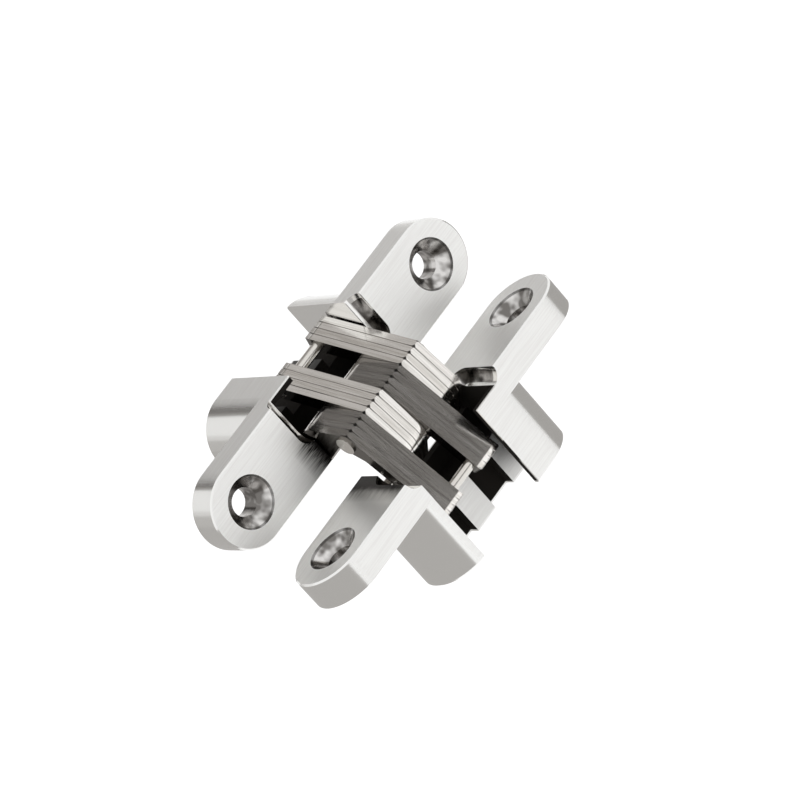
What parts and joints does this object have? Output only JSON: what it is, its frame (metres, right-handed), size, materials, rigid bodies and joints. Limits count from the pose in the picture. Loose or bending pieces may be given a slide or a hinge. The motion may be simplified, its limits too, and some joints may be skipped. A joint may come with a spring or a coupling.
{
  "type": "table leaf hinge",
  "caption": "Concealed cross-link hinge with two round-ended leaves, mortise bodies and laminated steel links that fold into them, for a table leaf or a flush door.",
  "frame": {"origin": "centre of the back of the fixed leaf's plate, where it seats, midway between its two screw holes", "axes": "+Z out of the fixed leaf's face, +Y along the hinge, +X across the fixed leaf towards its outer edge; the other leaf stands open at a right angle"},
  "size_m": [0.0329, 0.06, 0.0329],
  "materials": {
    "leaf_nickel": "zinc alloy die casting, ground face and satin nickel plate",
    "link_steel": "stamped steel plate with sheared edges",
    "pin_steel": "turned steel pin"
  },
  "bodies": {
    "fixed_leaf": {"fixed_leaf": "leaf_nickel", "fixed_pivot_pin": "pin_steel"},
    "fixed_link": {"fixed_link_plate_1": "link_steel", "fixed_link_plate_2": "link_steel", "fixed_link_plate_3": "link_steel", "fixed_link_plate_4": "link_steel", "fixed_link_plate_5": "link_steel", "fixed_link_plate_6": "link_steel", "fixed_link_plate_7": "link_steel", "fixed_link_plate_8": "link_steel", "fixed_slider_pin": "pin_steel", "centre_pin": "pin_steel"},
    "moving_link": {"moving_link_plate_1": "link_steel", "moving_link_plate_2": "link_steel", "moving_link_plate_3": "link_steel", "moving_link_plate_4": "link_steel", "moving_link_plate_5": "link_steel", "moving_link_plate_6": "link_steel", "moving_link_plate_7": "link_steel", "moving_link_plate_8": "link_steel", "moving_slider_pin": "pin_steel"},
    "moving_leaf": {"moving_leaf": "leaf_nickel", "moving_pivot_pin": "pin_steel"}
  },
  "joints": [
    {"name": "fixed_pivot", "type": "hinge", "parent": "fixed_leaf", "child": "fixed_link", "pos_m": [-0.0052, 0, 0.0011], "axis": [0, -1, 0], "range_deg": [-56.25, 56.25]},
    {"name": "centre_pivot", "type": "hinge", "parent": "fixed_link", "child": "moving_link", "pos_m": [-0.00352, 0, 0.01088], "axis": [0, -1, 0], "range_deg": [-22.5, 22.5]},
    {"name": "moving_pivot", "type": "hinge", "parent": "moving_link", "child": "moving_leaf", "pos_m": [-0.0133, 0, 0.0092], "axis": [0, -1, 0], "range_deg": [-56.25, 56.25]}
  ],
  "couplings": [
    {"joint": "moving_pivot", "follows": "fixed_pivot", "ratio": 1},
    {"joint": "centre_pivot", "follows": "fixed_pivot", "ratio": -0.4}
  ]
}
